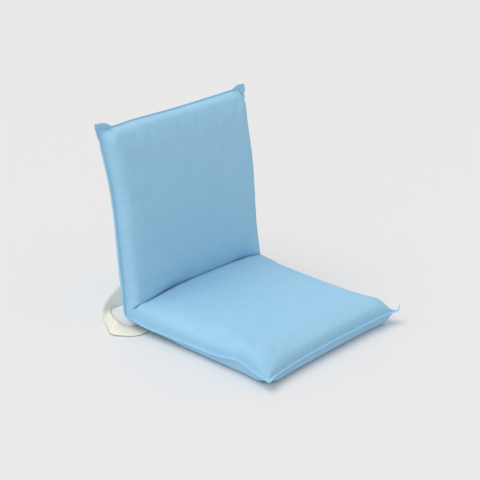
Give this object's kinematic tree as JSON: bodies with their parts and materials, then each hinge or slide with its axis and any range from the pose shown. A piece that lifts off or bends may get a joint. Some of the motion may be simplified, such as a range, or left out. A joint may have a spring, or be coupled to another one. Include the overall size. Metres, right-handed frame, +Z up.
{
  "type": "folding floor chair",
  "caption": "Legless folding chair: padded seat and padded reclining back in one cloth cover, ratchet hinge at the fold, webbing carry strap behind.",
  "frame": {"origin": "on the floor under the middle of the seat, on the flat underside of the seat pad", "axes": "+Z up; the sitter faces -Y, so the seat's front edge is at -Y and the back stands at +Y; X runs across, the sitter's right at -X"},
  "size_m": [0.4852, 0.5252, 0.4436],
  "materials": {
    "cloth": "light blue closely woven polyester cloth, matt with a faint sheen",
    "foam": "open-cell polyurethane foam, cream",
    "webbing": "off-white flat webbing, matt",
    "painted_steel": "dark grey painted steel tube",
    "plated_steel": "zinc-plated pressed steel",
    "spring_steel": "blued spring steel"
  },
  "bodies": {
    "seat": {"seat_frame_tube": "painted_steel", "seat_cross_tube": "painted_steel", "seat_foam_top": "foam", "seat_foam_base": "foam", "seat_cover_top": "cloth", "seat_cover_underside": "cloth", "cover_crease": "cloth", "cover_hinge_wrap": "cloth", "carry_strap": "webbing", "ratchet_plate_left": "plated_steel", "seat_arm_rivet_left": "plated_steel", "pivot_rivet_left": "plated_steel", "ratchet_plate_right": "plated_steel", "seat_arm_rivet_right": "plated_steel", "pivot_rivet_right": "plated_steel"},
    "back": {"back_frame_tube": "painted_steel", "back_cross_tube_lower": "painted_steel", "back_cross_tube_upper": "painted_steel", "back_foam_front": "foam", "back_foam_rear": "foam", "back_cover_front": "cloth", "back_cover_rear": "cloth", "cheek_outer_left": "plated_steel", "cheek_inner_left": "plated_steel", "back_arm_rivet_left": "plated_steel", "pawl_pin_left": "plated_steel", "spring_pin_left": "plated_steel", "pawl_spring_left": "spring_steel", "cheek_outer_right": "plated_steel", "cheek_inner_right": "plated_steel", "back_arm_rivet_right": "plated_steel", "pawl_pin_right": "plated_steel", "spring_pin_right": "plated_steel", "pawl_spring_right": "spring_steel"},
    "pawl_left": {"pawl_left": "plated_steel"},
    "pawl_right": {"pawl_right": "plated_steel"}
  },
  "joints": [
    {"name": "back_recline", "type": "hinge", "parent": "seat", "child": "back", "pos_m": [0, 0.18746, 0.047], "axis": [1, 0, 0], "range_deg": [-82.5, 79.5], "deforming": ["cover_crease", "cover_hinge_wrap", "carry_strap"]},
    {"name": "pawl_lift_left", "type": "hinge", "parent": "back", "child": "pawl_left", "pos_m": [0.172, 0.21491, 0.05944], "axis": [1, 0, 0], "range_deg": [-15, 3], "stiffness_Nm_per_rad": 0.05, "deforming": ["pawl_spring_left"]},
    {"name": "pawl_lift_right", "type": "hinge", "parent": "back", "child": "pawl_right", "pos_m": [-0.172, 0.21491, 0.05944], "axis": [1, 0, 0], "range_deg": [-15, 3], "stiffness_Nm_per_rad": 0.05, "deforming": ["pawl_spring_right"]}
  ]
}
